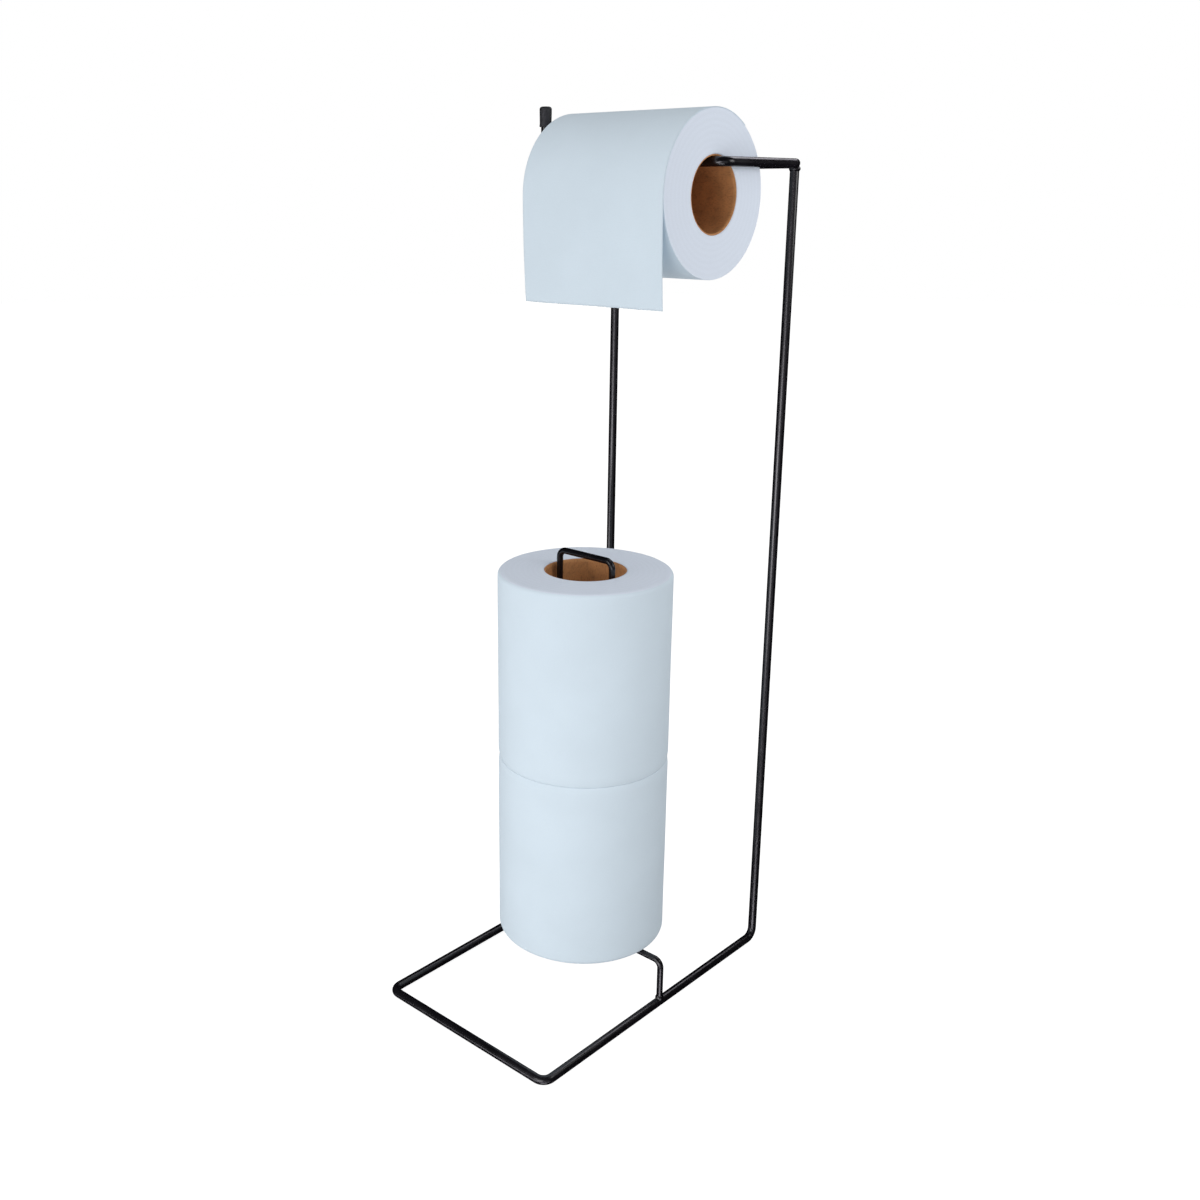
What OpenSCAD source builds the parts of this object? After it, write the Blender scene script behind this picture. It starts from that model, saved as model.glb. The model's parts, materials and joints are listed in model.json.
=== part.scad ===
// Free-standing toilet paper holder: a bent wire frame with an open-backed base, a top wire whose
// arm carries one roll, and a thinner wire spindle that two spare rolls stand on.
// Millimetres. The origin is the middle of the base on the floor: X right, Y to the rear, Z up.

/* [Wires] */
// Diameter of the frame wire and the top wire
wire_d = 5.2; // [4:0.1:6]
// Diameter of the spindle wire
spindle_wire_d = 3.8; // [2.6:0.1:4]
// Bend radius of the frame and top wires, at the wire's middle
bend_r = 6; // [5:0.5:14]
// Bend radius of the spindle wire, at the wire's middle
spindle_bend_r = 4.5; // [4:0.5:8]

/* [Base and posts] */
// Width of the base, between wire middles
base_w = 127; // [118:1:150]
// Depth of the base, between wire middles
base_d = 203; // [190:1:240]

/* [Top wire] */
// Height of the roll bar's middle above the floor
bar_z = 489; // [480:1:560]
// Length of the arm, from the rear bar's middle to the roll bar's middle
arm_len = 72; // [64:1:80]
// How far the arm stands out to the right of the right post
arm_overhang = 3; // [2:0.5:8]
// Length of the roll bar, from the arm's middle to the tip's middle
bar_len = 124.5; // [118:0.5:140]
// Height of the capped tip above the roll bar's middle
tip_rise = 31.5; // [26:0.5:34]
// Outer diameter of the end cap
cap_d = 7.1; // [6.8:0.1:8]
// Length of the end cap
cap_len = 11; // [8:0.5:12]

/* [Spindle] */
// Width of the spindle, between its legs' middles
spindle_w = 40; // [34:1:42]
// Height of the spindle's top bar above the floor
spindle_z = 271.5; // [268:0.5:290]
// Height of the two foot bars that the spare rolls stand on
foot_z = 30; // [24:1:32]
// Place of the spindle behind the middle of the base
spindle_y = 2; // [-10:1:10]

/* [Hanging roll] */
// Width of the roll on the bar
roll_w = 96; // [90:1:100]
// Outer diameter of the roll on the bar
roll_d = 86.4; // [60:0.2:96]
// Inner diameter of its cardboard core
roll_bore = 39.2; // [38:0.2:42]
// Place of the roll's right end, inward from the arm's middle
roll_inset = 5.3; // [5:0.1:10]
// Drop of the loose tail below the roll's own axis
tail_drop = 57; // [48:1:80]
// Arc of the tail that lies on the roll, in degrees
tail_wrap = 75; // [30:5:90]

/* [Spare rolls] */
// Width of each spare roll
spare_w = 115.5; // [95:0.5:116]
// Outer diameter of each spare roll
spare_d = 103.2; // [90:0.2:110]
// Inner diameter of each spare roll's core
spare_bore = 46.8; // [46.4:0.2:52]

/* [Hidden] */

WIRE_COLOR = "#18181b";
CAP_COLOR = "#2b2c31";
PAPER_COLOR = "#dbe6f0";
CORE_COLOR = "#9a6a3e";

ROUND = 48;           // facets in a full turn of a wire or a bend
ROLL_ROUND = 96;      // facets in a full turn of a roll
wire_r = wire_d / 2;
spindle_r = spindle_wire_d / 2;
play = 0.3;           // gap kept between pieces that move past each other
rest_gap = 0.2;       // gap under a roll that stands on something
core_wall = 0.8;      // thickness of the cardboard
core_fit = 0.05;      // gap between the cardboard and the paper wound on it
sheet_t = 0.5;        // thickness of the tail as a solid
tail_facet = 3;       // degrees of arc in each flat of the tail's curved part
weld_gap = 0.15;      // weld metal between a wire's cut end and the wire it stands against
weld_bulge = 0.8;     // how far a weld bead stands out past the wire
cut_bevel = 0.6;      // bevel on a free cut end
cap_round = 1.4;      // rounding of the cap's closed end
cap_roof = 1.5;       // thickness of the cap's closed end
cap_fit = 0.03;       // radial gap between the cap and the tip that it is pushed on

base_z = wire_r;                          // height of the base wires' middle
post_top = bar_z - wire_r - weld_gap;     // the posts end just below the top wire
arm_x = base_w / 2 + arm_overhang;
bar_y = base_d / 2 - arm_len;
tip_x = arm_x - bar_len;
rear_bar_end = -base_w / 2 - wire_r;      // the rear bar ends flush with the left post

roll_r = roll_d / 2;
roll_x = arm_x - roll_inset - roll_w;     // left end of the hanging roll
roll_z = bar_z + wire_r + play - roll_bore / 2;
tail_r = roll_r + play;                   // inner radius of the tail where it lies on the roll

lower_z = foot_z + spindle_r + rest_gap;
upper_z = lower_z + spare_w + rest_gap;

// Corner points of each wire, before its bends
frame_path = [
    [-base_w / 2, base_d / 2, post_top],
    [-base_w / 2, base_d / 2, base_z],
    [-base_w / 2, -base_d / 2, base_z],
    [base_w / 2, -base_d / 2, base_z],
    [base_w / 2, base_d / 2, base_z],
    [base_w / 2, base_d / 2, post_top]
];
top_path = [
    [rear_bar_end + cut_bevel, base_d / 2, bar_z],
    [arm_x, base_d / 2, bar_z],
    [arm_x, bar_y, bar_z],
    [tip_x, bar_y, bar_z],
    [tip_x, bar_y, bar_z + tip_rise - cap_roof]
];
foot_end_z = base_z + wire_r + weld_gap;
spindle_path = [
    [-base_w / 2, spindle_y, foot_end_z],
    [-base_w / 2, spindle_y, foot_z],
    [-spindle_w / 2, spindle_y, foot_z],
    [-spindle_w / 2, spindle_y, spindle_z],
    [spindle_w / 2, spindle_y, spindle_z],
    [spindle_w / 2, spindle_y, foot_z],
    [base_w / 2, spindle_y, foot_z],
    [base_w / 2, spindle_y, foot_end_z]
];

function unit(v) = v / norm(v);

// A straight length of round wire from one point to another
module straight(from, to, d) {
    run = to - from;
    translate(from)
        rotate([0, acos(run.z / norm(run)), atan2(run.y, run.x)])
            cylinder(d = d, h = norm(run), $fn = ROUND);
}

// A right-angled bend of radius r at a corner, coming from one point and going on to another
module elbow(from, corner, to, d, r) {
    inward = unit(corner - from);
    onward = unit(to - corner);
    normal = cross(inward, onward);
    middle = corner + (onward - inward) * r;
    multmatrix([
        [-onward.x, inward.x, normal.x, middle.x],
        [-onward.y, inward.y, normal.y, middle.y],
        [-onward.z, inward.z, normal.z, middle.z]
    ])
        rotate_extrude(angle = 90, $fn = ROUND)
            translate([r, 0])
                circle(d = d, $fn = ROUND);
}

// One piece of wire bent to radius r at each inner corner of its path
module bent_wire(path, d, r) {
    last = len(path) - 1;
    for (i = [0 : last - 1]) {
        along = unit(path[i + 1] - path[i]);
        start = path[i] + along * (i == 0 ? 0 : r);
        end = path[i + 1] - along * (i + 1 == last ? 0 : r);
        straight(start, end, d);
    }
    for (i = [1 : last - 1])
        elbow(path[i - 1], path[i], path[i + 1], d, r);
}

// A ring of paper or card standing on the XY plane
module tube(outer, bore, length) {
    difference() {
        cylinder(d = outer, h = length, $fn = ROLL_ROUND);
        translate([0, 0, -1])
            cylinder(d = bore, h = length + 2, $fn = ROLL_ROUND);
    }
}

module lie_along_bar() {
    translate([roll_x, bar_y, roll_z])
        rotate([0, 90, 0])
            children();
}

module stand_on_spindle(z) {
    translate([0, spindle_y, z])
        children();
}

module frame_wire() {
    color(WIRE_COLOR)
        bent_wire(frame_path, wire_d, bend_r);
}

module top_wire() {
    color(WIRE_COLOR) {
        bent_wire(top_path, wire_d, bend_r);
        translate([rear_bar_end, base_d / 2, bar_z])
            rotate([0, 90, 0])
                cylinder(d1 = wire_d - 2 * cut_bevel, d2 = wire_d, h = cut_bevel, $fn = ROUND);
    }
}

module spindle_wire() {
    color(WIRE_COLOR)
        bent_wire(spindle_path, spindle_wire_d, spindle_bend_r);
}

// A soft cap pushed over the upturned end of the roll bar
module tip_cap() {
    cap_r = cap_d / 2;
    color(CAP_COLOR)
        translate([tip_x, bar_y, bar_z + tip_rise - cap_len])
            difference() {
                rotate_extrude($fn = ROUND) {
                    square([cap_r, cap_len - cap_round]);
                    square([cap_r - cap_round, cap_len]);
                    translate([cap_r - cap_round, cap_len - cap_round])
                        intersection() {
                            circle(r = cap_round, $fn = ROUND);
                            square(cap_round);
                        }
                }
                translate([0, 0, -1])
                    cylinder(r = wire_r + cap_fit, h = cap_len - cap_roof + 1, $fn = ROUND);
            }
}

// A bead round the place where a cut wire end stands against another wire
module weld(at, r) {
    translate(at)
        sphere(r = r, $fn = ROUND);
}

module post_welds() {
    color(WIRE_COLOR)
        difference() {
            for (side = [-1, 1])
                weld([side * base_w / 2, base_d / 2, post_top], wire_r + weld_bulge);
            frame_wire();
            top_wire();
        }
}

module spindle_welds() {
    color(WIRE_COLOR)
        difference() {
            for (side = [-1, 1])
                weld([side * base_w / 2, spindle_y, foot_end_z], spindle_r + weld_bulge);
            frame_wire();
            spindle_wire();
        }
}

module hanging_paper() {
    color(PAPER_COLOR)
        lie_along_bar()
            tube(roll_d, roll_bore + 2 * (core_wall + core_fit), roll_w);
}

module hanging_core() {
    color(CORE_COLOR)
        lie_along_bar()
            tube(roll_bore + 2 * core_wall, roll_bore, roll_w);
}

// The loose end of the paper: it lies on the front of the roll and hangs straight down from there
module hanging_tail() {
    steps = round(tail_wrap / tail_facet);
    angles = [for (i = [0 : steps]) tail_wrap * i / steps];
    outer_r = tail_r + sheet_t;
    outside = [for (a = angles) outer_r * [-cos(a), sin(a)]];
    inside = [for (i = [steps : -1 : 0]) tail_r * [-cos(angles[i]), sin(angles[i])]];
    color(PAPER_COLOR)
        translate([roll_x, bar_y, roll_z])
            rotate([90, 0, 90])
                linear_extrude(roll_w)
                    polygon(concat([[-outer_r, -tail_drop]], outside, inside, [[-tail_r, -tail_drop]]));
}

module spare_paper() {
    color(PAPER_COLOR)
        tube(spare_d, spare_bore + 2 * (core_wall + core_fit), spare_w);
}

module spare_core() {
    color(CORE_COLOR)
        tube(spare_bore + 2 * core_wall, spare_bore, spare_w);
}

module lower_paper() { stand_on_spindle(lower_z) spare_paper(); }
module lower_core() { stand_on_spindle(lower_z) spare_core(); }
module upper_paper() { stand_on_spindle(upper_z) spare_paper(); }
module upper_core() { stand_on_spindle(upper_z) spare_core(); }

frame_wire();
top_wire();
spindle_wire();
tip_cap();
post_welds();
spindle_welds();
hanging_paper();
hanging_core();
hanging_tail();
lower_paper();
lower_core();
upper_paper();
upper_core();
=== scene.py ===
"""Looks for the free-standing toilet paper holder: paper, cores, welds, cap, materials, light and camera.

Metres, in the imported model's own frame: X to the right, Y to the rear, Z up, with the floor at Z = 0.
"""

import json
import math

import bmesh
import bpy
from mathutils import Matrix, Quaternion, Vector, noise

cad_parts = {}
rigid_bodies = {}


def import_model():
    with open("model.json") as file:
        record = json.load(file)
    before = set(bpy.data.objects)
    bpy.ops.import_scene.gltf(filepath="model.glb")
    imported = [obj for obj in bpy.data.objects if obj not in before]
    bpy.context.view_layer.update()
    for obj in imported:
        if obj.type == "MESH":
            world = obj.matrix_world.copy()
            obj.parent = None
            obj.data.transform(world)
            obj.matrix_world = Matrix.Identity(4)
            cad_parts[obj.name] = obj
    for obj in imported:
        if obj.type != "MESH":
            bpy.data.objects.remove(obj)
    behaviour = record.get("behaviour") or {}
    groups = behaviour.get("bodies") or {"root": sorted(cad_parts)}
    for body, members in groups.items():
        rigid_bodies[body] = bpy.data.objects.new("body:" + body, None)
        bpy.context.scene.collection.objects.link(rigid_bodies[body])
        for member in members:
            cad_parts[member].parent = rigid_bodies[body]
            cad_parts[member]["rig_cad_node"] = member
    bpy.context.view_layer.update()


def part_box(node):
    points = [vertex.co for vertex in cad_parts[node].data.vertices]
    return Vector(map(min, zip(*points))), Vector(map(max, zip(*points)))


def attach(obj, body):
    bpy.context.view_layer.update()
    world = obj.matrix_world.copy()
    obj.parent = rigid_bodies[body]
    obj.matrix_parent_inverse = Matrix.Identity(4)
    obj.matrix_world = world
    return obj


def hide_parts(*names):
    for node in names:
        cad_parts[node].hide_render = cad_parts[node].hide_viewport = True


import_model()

MM = 0.001
TAU = 2 * math.pi
WIRE_R = 2.6 * MM          # half the thickness of the frame wire and the top wire
SPINDLE_R = 1.9 * MM       # half the thickness of the spindle wire
CORE_WALL = 0.8 * MM       # cardboard
CORE_FIT = 0.05 * MM       # gap between a core and the paper wound on it
SHEET_T = 0.22 * MM        # two-ply tissue


# ---------------------------------------------------------------- camera

CAMERA_AZIMUTH = math.radians(43.24)
CAMERA_ELEVATION = math.radians(16.62)
CAMERA_DISTANCE = 748.1 * MM
CAMERA_AIM_RIGHT = -31.67 * MM
CAMERA_AIM_UP = 259.6 * MM
CAMERA_LENS = 38.54
CAMERA_SHIFT = (0.0593, -0.02)


def direction(azimuth, elevation):
    """Unit vector from the object towards a viewer or a lamp.

    Azimuth 0 is the front and 90 degrees the right.
    """
    flat = math.cos(elevation)
    return Vector((math.sin(azimuth) * flat, -math.cos(azimuth) * flat, math.sin(elevation)))


def make_camera():
    back = direction(CAMERA_AZIMUTH, CAMERA_ELEVATION)
    right = Vector((math.cos(CAMERA_AZIMUTH), math.sin(CAMERA_AZIMUTH), 0))
    aim = right * CAMERA_AIM_RIGHT + Vector((0, 0, CAMERA_AIM_UP))
    data = bpy.data.cameras.new("camera")
    data.lens = CAMERA_LENS
    data.sensor_width = 36
    data.shift_x = CAMERA_SHIFT[0]
    data.shift_y = CAMERA_SHIFT[1]
    data.clip_start = 0.01
    data.clip_end = 50
    camera = bpy.data.objects.new("camera", data)
    camera.location = aim + back * CAMERA_DISTANCE
    camera.rotation_mode = "QUATERNION"
    camera.rotation_quaternion = (-back).to_track_quat("-Z", "Y")
    bpy.context.scene.collection.objects.link(camera)
    bpy.context.scene.camera = camera


# ---------------------------------------------------------------- sizes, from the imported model

paper_lo, paper_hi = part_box("hanging_paper")
core_lo, core_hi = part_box("hanging_core")
tail_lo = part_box("hanging_tail")[0]
top_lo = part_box("top_wire")[0]
wire_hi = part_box("frame_wire")[1]
spindle_lo, spindle_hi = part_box("spindle_wire")
cap_lo, cap_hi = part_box("tip_cap")

ROLL_START = Vector((paper_lo.x, (paper_lo.y + paper_hi.y) / 2, (paper_lo.z + paper_hi.z) / 2))
ROLL_R = (paper_hi.z - paper_lo.z) / 2
ROLL_W = paper_hi.x - paper_lo.x
CORE_R = (core_hi.z - core_lo.z) / 2
TAIL_DROP = ROLL_START.z - tail_lo.z


# ---------------------------------------------------------------- mesh helpers

def ease(x, low, high):
    """0 below low, 1 above high, smooth between."""
    t = min(1.0, max(0.0, (x - low) / (high - low)))
    return t * t * (3 - 2 * t)


def mesh_object(name, points, faces, materials, bands=None):
    """A closed, smooth-shaded mesh; bands holds each face's material index."""
    mesh = bpy.data.meshes.new(name)
    mesh.from_pydata([tuple(p) for p in points], [], faces)
    for material in materials:
        mesh.materials.append(material)
    if bands:
        mesh.polygons.foreach_set("material_index", bands)
    built = bmesh.new()
    built.from_mesh(mesh)
    bmesh.ops.recalc_face_normals(built, faces=built.faces)
    built.to_mesh(mesh)
    built.free()
    mesh.polygons.foreach_set("use_smooth", [True] * len(faces))
    mesh.update()
    obj = bpy.data.objects.new(name, mesh)
    bpy.context.scene.collection.objects.link(obj)
    return obj


def ring_faces(rings, count, looped, first=0):
    """Quads between successive rings of count points; looped joins the last ring to the first."""
    faces = []
    for i in range(rings if looped else rings - 1):
        here = first + i * count
        there = first + (i + 1) % rings * count
        for j in range(count):
            k = (j + 1) % count
            faces.append((here + j, here + k, there + k, there + j))
    return faces


def placed(obj, body, slot, *nodes):
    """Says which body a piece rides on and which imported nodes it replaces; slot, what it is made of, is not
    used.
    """
    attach(obj, body)
    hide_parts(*nodes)


def around_z(base):
    """Maps (radius, angle, height) to a point round the upright axis through base."""
    return lambda r, a, h: Vector((base.x + r * math.cos(a), base.y + r * math.sin(a), base.z + h))


def around_x(base):
    """Maps (radius, angle, length) to a point round the axis along X through base.

    Angle 0 is the front and a quarter turn the top.
    """
    return lambda r, a, h: Vector((base.x + h, base.y - r * math.cos(a), base.z + r * math.sin(a)))


# ---------------------------------------------------------------- material helpers

def new_material(name):
    material = bpy.data.materials.new(name)
    material.use_nodes = True
    tree = material.node_tree
    tree.nodes.clear()
    output = tree.nodes.new("ShaderNodeOutputMaterial")
    shader = tree.nodes.new("ShaderNodeBsdfPrincipled")
    tree.links.new(shader.outputs["BSDF"], output.inputs["Surface"])
    return material, tree, shader


def coordinates(tree, stretch=(1, 1, 1), centre=(0, 0, 0)):
    """Object coordinates about centre, each axis scaled by stretch."""
    source = tree.nodes.new("ShaderNodeTexCoord")
    mapping = tree.nodes.new("ShaderNodeMapping")
    mapping.inputs["Location"].default_value = [-c * s for c, s in zip(centre, stretch)]
    mapping.inputs["Scale"].default_value = stretch
    tree.links.new(source.outputs["Object"], mapping.inputs["Vector"])
    return mapping.outputs["Vector"]


def grain(tree, vector, scale, detail=3, roughness=0.5):
    node = tree.nodes.new("ShaderNodeTexNoise")
    node.inputs["Scale"].default_value = scale
    node.inputs["Detail"].default_value = detail
    node.inputs["Roughness"].default_value = roughness
    tree.links.new(vector, node.inputs["Vector"])
    return node.outputs["Fac"]


def rings(tree, vector, axis, pitch, distortion):
    """Layers wound round an axis, pitch apart."""
    node = tree.nodes.new("ShaderNodeTexWave")
    node.wave_type = "RINGS"
    node.rings_direction = axis
    node.inputs["Scale"].default_value = TAU / 20 / pitch
    node.inputs["Distortion"].default_value = distortion
    node.inputs["Detail"].default_value = 3
    node.inputs["Detail Scale"].default_value = 0.3
    tree.links.new(vector, node.inputs["Vector"])
    return node.outputs["Fac"]


def colours(tree, value, stops):
    """A colour ramp through (position, (r, g, b)) stops."""
    node = tree.nodes.new("ShaderNodeValToRGB")
    ramp = node.color_ramp
    ramp.elements[0].position = stops[0][0]
    ramp.elements[0].color = (*stops[0][1], 1)
    ramp.elements[1].position = stops[-1][0]
    ramp.elements[1].color = (*stops[-1][1], 1)
    for position, colour in stops[1:-1]:
        ramp.elements.new(position).color = (*colour, 1)
    tree.links.new(value, node.inputs["Fac"])
    return node.outputs["Color"]


def spread(tree, value, low, high, start=0.3, end=0.7):
    """Carries a value from start..end over to low..high."""
    node = tree.nodes.new("ShaderNodeMapRange")
    node.inputs["From Min"].default_value = start
    node.inputs["From Max"].default_value = end
    node.inputs["To Min"].default_value = low
    node.inputs["To Max"].default_value = high
    tree.links.new(value, node.inputs["Value"])
    return node.outputs["Result"]


def blended(tree, first, second, share, way="MULTIPLY"):
    """Two colours mixed."""
    node = tree.nodes.new("ShaderNodeMix")
    node.data_type = "RGBA"
    node.blend_type = way
    node.inputs["Factor"].default_value = share
    tree.links.new(first, node.inputs[6])
    tree.links.new(second, node.inputs[7])
    return node.outputs[2]


def bumps(tree, shader, heights):
    """Chains (value, height in metres) pairs into the shader's normal."""
    normal = None
    for value, height in heights:
        node = tree.nodes.new("ShaderNodeBump")
        node.inputs["Strength"].default_value = 1
        node.inputs["Distance"].default_value = height
        tree.links.new(value, node.inputs["Height"])
        if normal is not None:
            tree.links.new(normal, node.inputs["Normal"])
        normal = node.outputs["Normal"]
    tree.links.new(normal, shader.inputs["Normal"])


def scaled(colour, factor):
    return tuple(min(1.0, c * factor) for c in colour)


# ---------------------------------------------------------------- materials

TISSUE = (0.735, 0.845, 0.935)
TISSUE_CUT = (0.8, 0.87, 0.98)
KRAFT = (0.56, 0.265, 0.107)


def tissue_material(name, along):
    """Creped tissue: fine ridges that run along the roll's axis, over loose fibres and slow unevenness."""
    material, tree, shader = new_material(name)
    stretch = tuple(0.16 if axis == along else 1.0 for axis in "XYZ")
    crepe = grain(tree, coordinates(tree, stretch), 1500, 2)
    fibres = grain(tree, coordinates(tree), 2600, 4, 0.7)
    clouds = grain(tree, coordinates(tree), 28, 2)
    tint = colours(tree, clouds, [(0.3, scaled(TISSUE, 0.975)), (0.7, scaled(TISSUE, 1.012))])
    flecks = colours(tree, fibres, [(0.3, (0.965, 0.968, 0.972)), (0.62, (1, 1, 1))])
    tree.links.new(blended(tree, tint, flecks, 1.0), shader.inputs["Base Color"])
    tree.links.new(spread(tree, fibres, 0.86, 1.0), shader.inputs["Roughness"])
    shader.inputs["Specular IOR Level"].default_value = 0.18
    bumps(tree, shader, [(crepe, 0.05 * MM), (fibres, 0.03 * MM)])
    return material


def cut_tissue_material(name, along, centre):
    """The ends of a roll: the cut edges of its wound layers."""
    material, tree, shader = new_material(name)
    about = coordinates(tree, centre=centre)
    layers = rings(tree, about, along, 0.55 * MM, 2.2)
    groups = rings(tree, about, along, 3.1 * MM, 3.0)
    fuzz = grain(tree, coordinates(tree), 1700, 4, 0.65)
    tint = colours(tree, groups, [(0.1, scaled(TISSUE_CUT, 0.988)), (0.9, scaled(TISSUE_CUT, 1.004))])
    lines = colours(tree, layers, [(0.0, (0.955, 0.957, 0.965)), (0.5, (1, 1, 1))])
    flecks = colours(tree, fuzz, [(0.3, (0.96, 0.962, 0.968)), (0.6, (1, 1, 1))])
    both = blended(tree, lines, flecks, 1.0)
    tree.links.new(blended(tree, tint, both, 1.0), shader.inputs["Base Color"])
    tree.links.new(spread(tree, fuzz, 0.88, 1.0), shader.inputs["Roughness"])
    shader.inputs["Specular IOR Level"].default_value = 0.12
    bumps(tree, shader, [(layers, 0.05 * MM), (fuzz, 0.05 * MM)])
    return material


def board_material(name, along):
    """Brown recycled board: mottled, with fibres and small dark flecks."""
    material, tree, shader = new_material(name)
    stretch = tuple(0.45 if axis == along else 1.0 for axis in "XYZ")
    mottle = grain(tree, coordinates(tree), 130, 4, 0.6)
    fibres = grain(tree, coordinates(tree, stretch), 1400, 4, 0.7)
    tint = colours(
        tree,
        mottle,
        [(0.3, scaled(KRAFT, 0.8)), (0.5, KRAFT), (0.72, scaled(KRAFT, 1.16))],
    )
    flecks = colours(tree, fibres, [(0.34, (0.62, 0.58, 0.54)), (0.5, (1, 1, 1))])
    tree.links.new(blended(tree, tint, flecks, 0.7), shader.inputs["Base Color"])
    tree.links.new(spread(tree, mottle, 0.68, 0.86), shader.inputs["Roughness"])
    shader.inputs["Specular IOR Level"].default_value = 0.3
    bumps(tree, shader, [(mottle, 0.05 * MM), (fibres, 0.035 * MM)])
    return material


def paint_material(name):
    """Gloss black paint on steel wire: faint orange peel, slightly uneven gloss and fine dust."""
    material, tree, shader = new_material(name)
    peel = grain(tree, coordinates(tree), 150, 1, 0.4)
    wear = grain(tree, coordinates(tree), 60, 4, 0.6)
    dust = grain(tree, coordinates(tree), 2400, 2, 0.5)
    tint = colours(tree, wear, [(0.35, (0.0045, 0.004, 0.0055)), (0.7, (0.0085, 0.0075, 0.0105))])
    specks = colours(tree, dust, [(0.72, (0, 0, 0)), (0.85, (0.02, 0.02, 0.024))])
    tree.links.new(blended(tree, tint, specks, 0.5, "ADD"), shader.inputs["Base Color"])
    tree.links.new(spread(tree, wear, 0.2, 0.32), shader.inputs["Roughness"])
    shader.inputs["Specular IOR Level"].default_value = 0.5
    bumps(tree, shader, [(peel, 0.02 * MM)])
    return material


def cap_material(name):
    """Black moulded vinyl: a matt, finely pitted skin, greyer where it is handled."""
    material, tree, shader = new_material(name)
    pits = grain(tree, coordinates(tree), 2200, 3, 0.6)
    handled = grain(tree, coordinates(tree), 260, 3, 0.6)
    tint = colours(tree, handled, [(0.3, (0.014, 0.0145, 0.018)), (0.7, (0.03, 0.031, 0.037))])
    tree.links.new(tint, shader.inputs["Base Color"])
    tree.links.new(spread(tree, pits, 0.5, 0.68), shader.inputs["Roughness"])
    shader.inputs["Specular IOR Level"].default_value = 0.4
    bumps(tree, shader, [(pits, 0.03 * MM)])
    return material


# ---------------------------------------------------------------- paper rolls

# How far an edge is worn in along the radius and along the axis, and whether it is an open bevel
WORN_EDGE = (0.28 * MM, 0.28 * MM, False)
ROUNDED_EDGE = (3.0 * MM, 2.8 * MM, False)
PRESSED_EDGE = (0.7 * MM, 4.5 * MM, True)
PRESSED_SWELL = 0.09 * MM  # how far a pressed end swells towards its neighbour near the rim
LAYER_DEPTH = 0.05 * MM    # how unevenly the wound layers end
EDGE_STEPS = 7             # spans in a worn edge
CUT_STEPS = 3              # of these, the ones that still look like a cut end


def face_heights(count, depth, seed):
    """How far each wound layer stands in from the roll's end."""
    return [
        depth * (0.5 + 0.5 * noise.noise(Vector((i * 0.83, seed, 0.3))))
        + 0.6 * depth * (0.5 + 0.5 * noise.noise(Vector((i * 0.17, seed, 7.1))))
        for i in range(count)
    ]


def swell(heights):
    """A pressed end's heights, standing out a little towards the rim."""
    count = len(heights)
    swollen = []
    for i, h in enumerate(heights):
        share = ease(i / count, 0.4, 0.9)
        swollen.append(h * (1 - share) - PRESSED_SWELL * share)
    return swollen


def edge_curve(outer, radial, axial, soft):
    """A roll's worn edge, from its end to its side: (radius, distance from the end).

    soft leaves an open bevel in place of a rounded edge.
    """
    curve = []
    for i in range(EDGE_STEPS + 1):
        t = i / EDGE_STEPS
        if soft:
            curve.append((outer - radial * (1 - t) ** 1.6, (axial + PRESSED_SWELL) * t - PRESSED_SWELL))
        else:
            a = math.pi / 2 * t
            curve.append((outer - radial + radial * math.sin(a), axial - axial * math.cos(a)))
    return curve


def wound_profile(bore, outer, width, near_edge, far_edge, seed):
    """The closed outline of a roll's section, as (radius, length) points.

    With it comes which of the spans between the points are cut ends.
    """
    layers = 26
    side_steps = 34
    bore_steps = 6
    near_curve = edge_curve(outer, *near_edge)
    far_curve = edge_curve(outer, *far_edge)
    near_heights = face_heights(layers, LAYER_DEPTH, seed)
    far_heights = face_heights(layers, LAYER_DEPTH, seed + 40)
    if near_edge[2]:
        near_heights = swell(near_heights)
    if far_edge[2]:
        far_heights = swell(far_heights)
    points = []
    cut = []
    for i in range(layers):
        points.append((bore + (near_curve[0][0] - bore) * i / layers, near_heights[i]))
        cut.append(True)
    for i, (r, h) in enumerate(near_curve):
        points.append((r, h))
        cut.append(i < CUT_STEPS and not near_edge[2])
    start = near_curve[-1][1]
    end = width - far_curve[-1][1]
    for i in range(1, side_steps):
        points.append((outer, start + (end - start) * i / side_steps))
        cut.append(False)
    for i, (r, h) in enumerate(reversed(far_curve)):
        points.append((r, width - h))
        worn_to_cut = i >= EDGE_STEPS - CUT_STEPS and not far_edge[2]
        cut.append(worn_to_cut or i == EDGE_STEPS)
    for i in reversed(range(layers)):
        points.append((bore + (far_curve[0][0] - bore) * i / layers, width - far_heights[i]))
        cut.append(True)
    for i in range(1, bore_steps):
        points.append((bore, width * (1 - i / bore_steps)))
        cut.append(True)
    return points, cut


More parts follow.
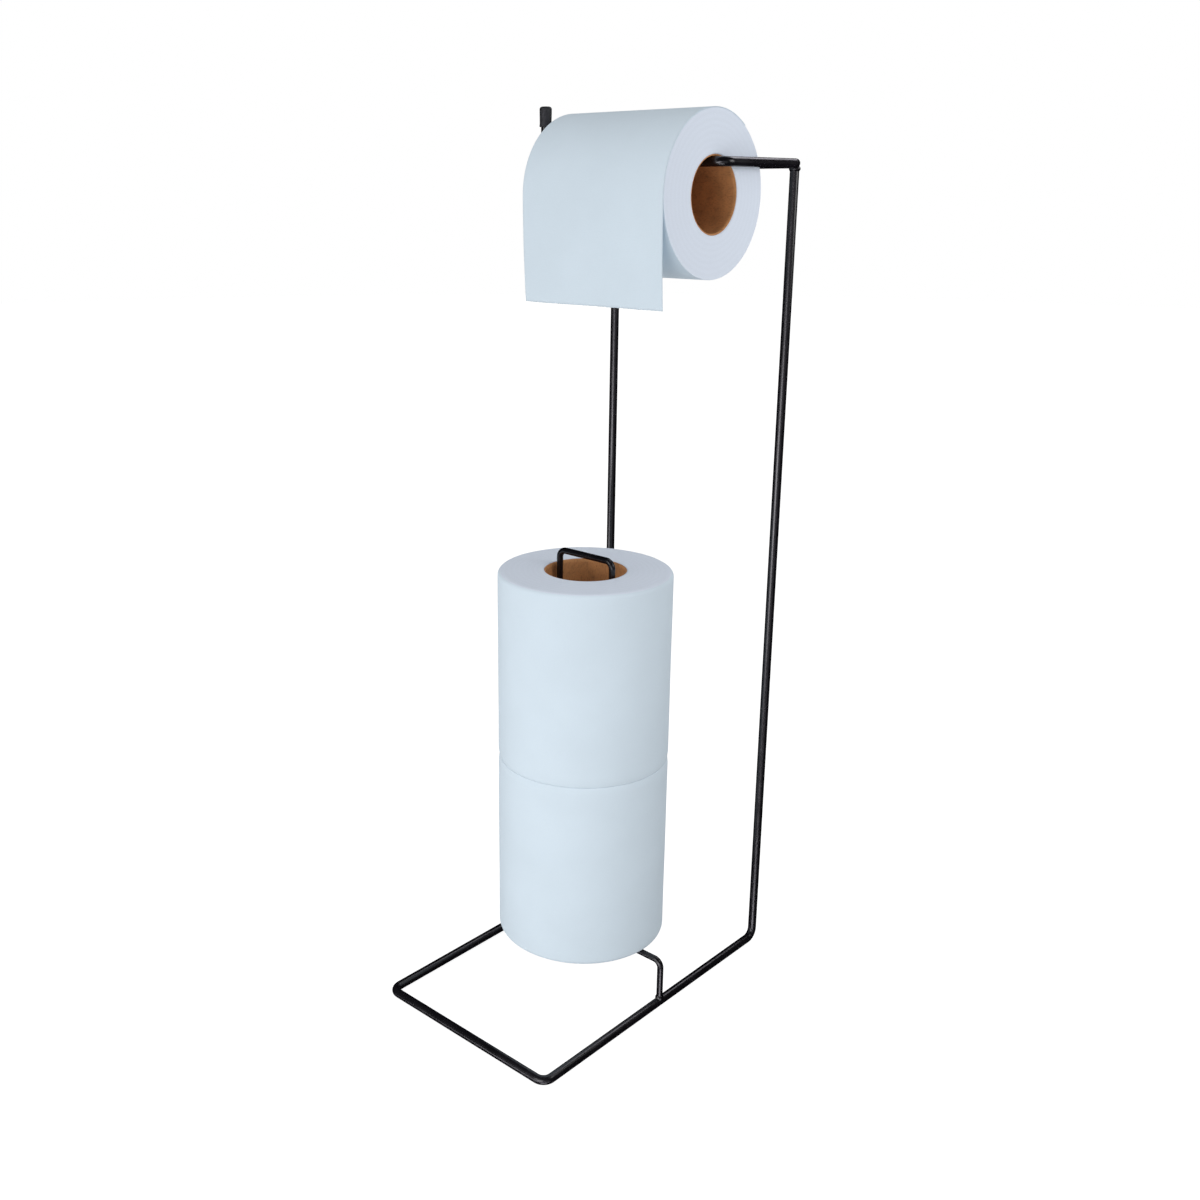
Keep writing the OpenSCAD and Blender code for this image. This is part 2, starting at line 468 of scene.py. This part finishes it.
def wound_roll(name, place, bore, outer, width, edges, seed, end_angle, ply, slack, materials):
    """A roll of tissue wound as a spiral: its last sheet ends in a step, ply high, at end_angle."""
    columns = 144
    lip = 0.0022  # angle that the step at the last sheet's end takes up
    angles = [TAU * k / columns for k in range(columns)] + [TAU - lip]
    profile, cut = wound_profile(bore, outer, width, edges[0], edges[1], seed)
    points = []
    for r, h in profile:
        depth = ease(r, bore, outer - 4 * MM)
        tooth = 0.5 * MM * noise.noise(Vector((h * 420, seed, 3.7))) / outer
        for a in angles:
            wind = a / TAU
            soft = noise.noise(Vector((2.1 * math.cos(a), 2.1 * math.sin(a), h * 22 + seed)))
            near_end = math.exp(-min(a, TAU - a) * 9)
            angle = end_angle + a + tooth * near_end
            inward = ply * wind + slack * (0.5 + 0.5 * soft)
            points.append(place(r - inward * depth, angle, h))
    faces = ring_faces(len(profile), len(angles), True)
    bands = []
    for is_cut in cut:
        bands += [1 if is_cut else 0] * len(angles)
    return mesh_object(name, points, faces, materials, bands)


# ---------------------------------------------------------------- cardboard cores

def wound_core(name, place, outer, width, seed, material):
    """A board tube whose inner ply ends in a helical seam, with slightly worn ends."""
    pitch = 108 * MM
    inset = 0.25 * MM
    # angles across the seam, and how far back the wall stands at each, in millimetres
    seam = [-0.055, -0.034, -0.019, -0.008, 0.0, 0.006, 0.014, 0.03, 0.055]
    dip = [0.0, 0.0, 0.03, 0.12, 0.2, 0.12, -0.05, -0.04, 0.0]
    plain = 84
    half = seam[-1]
    angles = seam + [half + (TAU - 2 * half) * k / plain for k in range(1, plain)]
    grooves = dip + [0.0] * (plain - 1)
    inner = outer - CORE_WALL
    rows = 48
    bevel = 0.12 * MM
    lengths = [inset + (width - 2 * inset) * i / rows for i in range(rows + 1)]
    section = []
    for h in lengths:
        section.append((inner, h, 1.0))
    section[0] = (inner + bevel, lengths[0], 0.0)
    section[-1] = (inner + bevel, lengths[-1], 0.0)
    section.append((outer - bevel, lengths[-1], 0.0))
    section.append((outer, lengths[-1] - bevel, 0.0))
    for h in reversed(lengths[1:-1]):
        section.append((outer, h, 0.0))
    section.append((outer, lengths[0] + bevel, 0.0))
    section.append((outer - bevel, lengths[0], 0.0))
    points = []
    for r, h, inside in section:
        for a, groove in zip(angles, grooves):
            turn = a + TAU * h / pitch + seed
            rough = 0.05 * MM * noise.noise(Vector((5 * math.cos(turn), 5 * math.sin(turn), h * 60 + seed)))
            points.append(place(r + inside * (groove * MM + rough - 0.03 * MM), turn, h))
    faces = ring_faces(len(section), len(angles), True)
    return mesh_object(name, points, faces, [material])


# ---------------------------------------------------------------- the loose tail

TAIL_WRAP = math.radians(126)
TAIL_LEAN = 2.3 * MM


def tail_path():
    """The sheet's inner face, seen from the side and about the roll's axis.

    Each point is (y, z, outward y, outward z, how loose).
    """
    path = []
    arc_steps = 54
    hang_steps = 40
    for i in range(arc_steps + 1):
        a = TAIL_WRAP * (1 - i / arc_steps)
        gap = 0.03 * MM + 0.05 * MM * ease(TAIL_WRAP - a, 0.0, 1.0)
        r = ROLL_R + gap
        path.append((-r * math.cos(a), r * math.sin(a), -math.cos(a), math.sin(a), 0.0))
    front = path[-1][0]
    for i in range(1, hang_steps + 1):
        t = i / hang_steps
        lean = TAIL_LEAN * t ** 1.7
        slope = TAIL_LEAN * 1.7 * t ** 0.7 / TAIL_DROP
        size = math.hypot(1, slope)
        path.append((front + lean, -TAIL_DROP * t, -1 / size, -slope / size, t))
    return path


def make_tail(material):
    """One sheet of tissue that lies over the top of the roll and hangs from its front."""
    path = tail_path()
    columns = 120
    inner = []
    outer = []
    for row, (y, z, out_y, out_z, loose) in enumerate(path):
        last = row == len(path) - 1
        for j in range(columns + 1):
            u = j / columns
            x = u * ROLL_W
            broad = noise.noise(Vector((u * 2.6, loose * 1.3, 4.2)))
            fine = noise.noise(Vector((u * 9, loose * 3, 1.7)))
            push = 0.9 * MM * (broad + 0.35 * fine) * loose ** 1.5
            tooth = 0.28 * MM * noise.noise(Vector((j * 1.37, 0.4, 2.2))) if last else 0.0
            at_y = ROLL_START.y + y + out_y * push
            at_z = ROLL_START.z + z + out_z * push + max(tooth, -0.1 * MM) + (0.12 * MM if last else 0)
            inner.append(Vector((ROLL_START.x + x, at_y, at_z)))
            outer.append(Vector((ROLL_START.x + x, at_y + out_y * SHEET_T, at_z + out_z * SHEET_T)))
    across = columns + 1
    shift = len(inner)
    faces = []
    for i in range(len(path) - 1):
        for j in range(columns):
            a = i * across + j
            b = a + across
            faces.append((a, a + 1, b + 1, b))
            faces.append((shift + a, shift + b, shift + b + 1, shift + a + 1))
    last_row = (len(path) - 1) * across
    for j in range(columns):
        faces.append((j, shift + j, shift + j + 1, j + 1))
        a = last_row + j
        faces.append((a, a + 1, shift + a + 1, shift + a))
    for i in range(len(path) - 1):
        a = i * across
        faces.append((a, a + across, shift + a + across, shift + a))
        a += columns
        faces.append((a, shift + a, shift + a + across, a + across))
    obj = mesh_object("tail_sheet", inner + outer, faces, [material])
    return obj


# ---------------------------------------------------------------- welds and cap

def bead_rings(centre, along, end_z, bar_z, post_r, bar_r, seed):
    """Rings of a fillet weld round an upright wire's end, where it meets a level wire.

    The level wire runs along X or Y.
    """
    way = 1 if bar_z > end_z else -1
    count = 40
    reach = min(post_r + 0.55 * MM, 0.93 * bar_r)
    # radius, rise past the wire's end, share of the ripple
    stages = [
        (post_r - 0.15 * MM, -1.5 * MM, 0.0),
        (post_r + 0.16 * MM, -1.15 * MM, 0.4),
        (post_r + 0.46 * MM, -0.6 * MM, 1.0),
        (post_r + 0.6 * MM, -0.1 * MM, 1.0),
    ]
    rows = []
    for radius, rise, ripple in stages:
        row = []
        for k in range(count):
            a = TAU * k / count
            lump = noise.noise(Vector((1.7 * math.cos(a), 1.7 * math.sin(a), seed + rise * 900)))
            scallop = 0.07 * MM * math.sin(9 * a + seed) * ripple
            r = radius + 0.13 * MM * lump * ripple + scallop
            z = end_z + way * (rise + 0.2 * MM * lump * (1 if rise < -1 * MM else 0.3))
            row.append((r * math.cos(a), r * math.sin(a), z))
        rows.append(row)
    # two rings on the level wire: one just off its surface, one sunk into it
    for shrink, sink in ((1.0, -0.14 * MM), (0.94, 0.35 * MM)):
        row = []
        for k in range(count):
            a = TAU * k / count
            lump = noise.noise(Vector((1.7 * math.cos(a), 1.7 * math.sin(a), seed + 5)))
            u = (post_r + 0.8 * MM + 0.12 * MM * lump) * shrink * math.cos(a)
            v = reach * shrink * math.sin(a)
            z = bar_z - way * (math.sqrt(bar_r ** 2 - v ** 2) - sink)
            row.append((u, v, z))
        rows.append(row)
    points = []
    for row in rows:
        for u, v, z in row:
            if along == "X":
                points.append(Vector((centre[0] + u, centre[1] + v, z)))
            else:
                points.append(Vector((centre[0] + v, centre[1] + u, z)))
    return points, len(rows), count


def make_welds(name, material, joints):
    points = []
    faces = []
    for joint in joints:
        first = len(points)
        ring_points, rows, count = bead_rings(*joint)
        points += ring_points
        faces += ring_faces(rows, count, False, first)
        faces.append(tuple(range(first, first + count)))
        faces.append(tuple(range(first + (rows - 1) * count, first + rows * count)))
    return mesh_object(name, points, faces, [material])


def make_post_welds(material):
    x = wire_hi.x - WIRE_R
    y = wire_hi.y - WIRE_R
    bar_z = top_lo.z + WIRE_R
    joints = [((side * x, y), "X", wire_hi.z, bar_z, WIRE_R, WIRE_R, 3.0 + side) for side in (-1, 1)]
    placed(make_welds("post_weld_beads", material, joints), "frame", "black_wire", "post_welds")


def make_foot_welds(material):
    x = spindle_hi.x - SPINDLE_R
    y = (spindle_lo.y + spindle_hi.y) / 2
    joints = [((side * x, y), "Y", spindle_lo.z, WIRE_R, SPINDLE_R, WIRE_R, 8.0 + side) for side in (-1, 1)]
    placed(make_welds("foot_weld_beads", material, joints), "frame", "black_wire", "spindle_welds")


def make_cap(material):
    """A vinyl cap with a small lip at its open end, drawn in slightly above the lip."""
    outer = (cap_hi.x - cap_lo.x) / 2
    height = cap_hi.z - cap_lo.z
    bore = WIRE_R + 0.03 * MM
    roof = height - 1.5 * MM
    pole = 0.02 * MM
    dome = 1.5 * MM
    # (radius, height): down the inside, round the lip, up the outside and over the dome
    section = [(pole, roof), (bore - 0.3 * MM, roof), (bore, roof - 0.3 * MM), (bore, 0.3 * MM)]
    section += [(bore + 0.15 * MM, 0.03 * MM), (outer - 0.35 * MM, 0.0), (outer - 0.08 * MM, 0.1 * MM)]
    section += [(outer, 0.38 * MM), (outer, 0.75 * MM)]
    section += [(outer - 0.1 * MM, 1.15 * MM), (outer - 0.17 * MM, 1.7 * MM)]
    section += [(outer - 0.15 * MM, 3.5 * MM), (outer - 0.1 * MM, 5.5 * MM), (outer - 0.06 * MM, 7.4 * MM)]
    for i in range(9):
        a = math.pi / 2 * i / 8
        section.append((outer - 0.04 * MM - dome + dome * math.cos(a), height - dome + dome * math.sin(a)))
    section += [(0.9 * MM, height - 0.02 * MM), (pole, height - 0.03 * MM)]
    count = 48
    place = around_z(Vector(((cap_lo.x + cap_hi.x) / 2, (cap_lo.y + cap_hi.y) / 2, cap_lo.z)))
    points = [place(r, TAU * k / count, h) for r, h in section for k in range(count)]
    faces = ring_faces(len(section), count, False)
    faces.append(tuple(range(count)))
    faces.append(tuple(range((len(section) - 1) * count, len(section) * count)))
    placed(mesh_object("vinyl_cap", points, faces, [material]), "frame", "cap_rubber", "tip_cap")


# ---------------------------------------------------------------- assembly

def make_hanging_roll():
    place = around_x(ROLL_START)
    tissue = tissue_material("tissue_hanging", "X")
    cut = cut_tissue_material("tissue_hanging_ends", "X", ROLL_START)
    board = board_material("core_hanging", "X")
    paper = wound_roll(
        "hanging_roll_paper",
        place,
        CORE_R + CORE_FIT,
        ROLL_R,
        ROLL_W,
        (WORN_EDGE, WORN_EDGE),
        1.0,
        math.radians(150),
        0.05 * MM,
        0.03 * MM,
        [tissue, cut],
    )
    placed(paper, "hanging_roll", "tissue", "hanging_paper")
    core = wound_core("hanging_roll_core", place, CORE_R, ROLL_W, 0.4, board)
    placed(core, "hanging_roll", "core_board", "hanging_core")
    tail = make_tail(tissue)
    placed(tail, "tail", "tissue", "hanging_tail")


def make_spare_roll(which, edges, seed, end_angle, tissue, board):
    lo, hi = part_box(which + "_paper")
    inner_lo, inner_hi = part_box(which + "_core")
    base = Vector(((lo.x + hi.x) / 2, (lo.y + hi.y) / 2, lo.z))
    place = around_z(base)
    core_r = (inner_hi.x - inner_lo.x) / 2
    cut = cut_tissue_material("tissue_" + which + "_ends", "Z", base)
    paper = wound_roll(
        which + "_roll_paper",
        place,
        core_r + CORE_FIT,
        (hi.x - lo.x) / 2,
        hi.z - lo.z,
        edges,
        seed,
        math.radians(end_angle),
        0.25 * MM,
        0.3 * MM,
        [tissue, cut],
    )
    placed(paper, which + "_roll", "tissue", which + "_paper")
    core = wound_core(which + "_roll_core", place, core_r, hi.z - lo.z, seed, board)
    placed(core, which + "_roll", "core_board", which + "_core")


def finish_wires(paint):
    """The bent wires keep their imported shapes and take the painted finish."""
    for node in ("frame_wire", "top_wire", "spindle_wire"):
        for obj in bpy.context.scene.objects:
            if obj.get("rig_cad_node") == node:
                for slot in obj.material_slots:
                    slot.material = paint


# ---------------------------------------------------------------- floor, backdrop and light

FLOOR_WHITE = 0.9          # glow of the floor that the camera sees
FLOOR_BOUNCE = 0.23        # glow of the floor that lights the object
FLOOR_COLOUR = 0.36
CARD_TINT = (0.95, 0.92, 1.0)
WORLD_STRENGTH = 0.54
STAND_MIDDLE = Vector((0, 0, 0.26))       # about half way up the stand
STACK_MIDDLE = Vector((0, 0, 0.13))       # near the middle of the two spare rolls
HANGING_END = Vector((0.06, 0.03, 0.47))  # the middle of the right end of the roll on the bar


def stage_material(name, glow_strength, matt_grey=None, tint=(1, 1, 1)):
    """Even emission, over a matt grey that takes shadows where one is given."""
    material = bpy.data.materials.new(name)
    material.use_nodes = True
    tree = material.node_tree
    tree.nodes.clear()
    output = tree.nodes.new("ShaderNodeOutputMaterial")
    glow = tree.nodes.new("ShaderNodeEmission")
    glow.inputs["Color"].default_value = (*tint, 1)
    glow.inputs["Strength"].default_value = glow_strength
    if matt_grey is None:
        tree.links.new(glow.outputs[0], output.inputs["Surface"])
        return material
    both = tree.nodes.new("ShaderNodeAddShader")
    matt = tree.nodes.new("ShaderNodeBsdfDiffuse")
    matt.inputs["Color"].default_value = (matt_grey, matt_grey, matt_grey, 1)
    tree.links.new(matt.outputs[0], both.inputs[0])
    tree.links.new(glow.outputs[0], both.inputs[1])
    tree.links.new(both.outputs[0], output.inputs["Surface"])
    return material


def stage_object(name, points, faces, material, camera, diffuse, glossy, shadow):
    """A piece of the studio, seen only by the kinds of light named."""
    mesh = bpy.data.meshes.new(name)
    mesh.from_pydata([tuple(p) for p in points], [], faces)
    mesh.materials.append(material)
    obj = bpy.data.objects.new(name, mesh)
    bpy.context.scene.collection.objects.link(obj)
    obj.visible_camera = camera
    obj.visible_diffuse = diffuse
    obj.visible_glossy = glossy
    obj.visible_transmission = False
    obj.visible_shadow = shadow


def make_floor():
    """A pale floor in two sheets: the upper one is looked at, the lower one throws light back up."""
    half = 6.0
    sheets = [("floor", FLOOR_WHITE, 0.0, True), ("floor_bounce", FLOOR_BOUNCE, -0.0005, False)]
    for name, glow, height, seen in sheets:
        material = stage_material(name, glow, FLOOR_COLOUR)
        corners = [(-half, -half, height), (half, -half, height), (half, half, height), (-half, half, height)]
        stage_object(name, corners, [(0, 1, 2, 3)], material, seen, not seen, False, False)


def make_backdrop():
    """A white wall all round, which the camera sees and which gives no light."""
    count = 32
    outline = [(5.6, -0.2), (5.6, 2.5), (4.6, 4.6), (2.5, 5.6), (0.01, 5.8)]
    place = around_z(Vector((0, 0, 0)))
    points = [place(r, TAU * k / count, z) for r, z in outline for k in range(count)]
    faces = ring_faces(len(outline), count, False)
    stage_object("backdrop", points, faces, stage_material("backdrop", 1.0), True, False, False, False)


def make_card(name, azimuth, elevation, distance, size, tilt, strength):
    """A pale card that shows only as a reflection; tilt raises its right-hand end."""
    towards = direction(math.radians(azimuth), math.radians(elevation))
    centre = STAND_MIDDLE + towards * distance
    level = Vector((0, 0, 1)).cross(towards).normalized()
    turn = Quaternion(towards, math.radians(tilt))
    across = turn @ level * size[0] / 2
    upward = towards.cross(across).normalized() * size[1] / 2
    lower = [centre - across - upward, centre + across - upward]
    upper = [centre + across + upward, centre - across + upward]
    material = stage_material(name, strength, tint=CARD_TINT)
    material.cycles.emission_sampling = "NONE"
    stage_object(name, lower + upper, [(0, 1, 2, 3)], material, False, False, True, False)


def make_lamp(name, target, azimuth, elevation, distance, size, power):
    """A square lamp, size metres wide, that points at target and is hidden from the camera."""
    data = bpy.data.lights.new(name, "AREA")
    data.shape = "RECTANGLE"
    data.size = size
    data.size_y = size
    data.energy = power
    lamp = bpy.data.objects.new(name, data)
    towards = direction(math.radians(azimuth), math.radians(elevation))
    lamp.location = target + towards * distance
    lamp.rotation_mode = "QUATERNION"
    lamp.rotation_quaternion = towards.to_track_quat("Z", "Y")
    lamp.visible_camera = False
    bpy.context.scene.collection.objects.link(lamp)


def make_light():
    world = bpy.data.worlds.new("studio")
    world.use_nodes = True
    background = world.node_tree.nodes["Background"]
    background.inputs["Color"].default_value = (1, 1, 1, 1)
    background.inputs["Strength"].default_value = WORLD_STRENGTH
    bpy.context.scene.world = world
    world.cycles_visibility.glossy = False
    # target, azimuth, elevation, distance, size, power
    make_lamp("key", STAND_MIDDLE, -10, 15, 2.0, 0.8, 8.6)
    make_lamp("roll_side", HANGING_END, 115, 10, 0.45, 0.25, 0.73)
    make_lamp("stack_front", STACK_MIDDLE, 20, 0, 0.6, 0.25, 0.81)
    # azimuth, elevation, distance, (width, height), tilt, strength
    make_card("front_card", 10, -14, 1.5, (2.8, 0.42), 17, 5.2)
    make_card("fill_card", 40, -12, 1.7, (3.0, 1.6), 0, 0.5)
    make_card("rear_card", 178, 47, 1.5, (0.6, 0.6), 0, 3.5)
    make_card("low_card", 43, -50, 1.0, (0.5, 0.2), 0, 9)
    bpy.context.scene.view_settings.view_transform = "Standard"


# ---------------------------------------------------------------- run

make_camera()
paint_black = paint_material("wire_paint")
finish_wires(paint_black)
make_post_welds(paint_black)
make_foot_welds(paint_black)
make_cap(cap_material("cap_vinyl"))
make_hanging_roll()
spare_tissue = tissue_material("tissue_spare", "Z")
spare_board = board_material("core_spare", "Z")
make_spare_roll("lower", (ROUNDED_EDGE, PRESSED_EDGE), 2.0, 158, spare_tissue, spare_board)
make_spare_roll("upper", (PRESSED_EDGE, ROUNDED_EDGE), 6.0, 74, spare_tissue, spare_board)
make_floor()
make_backdrop()
make_light()
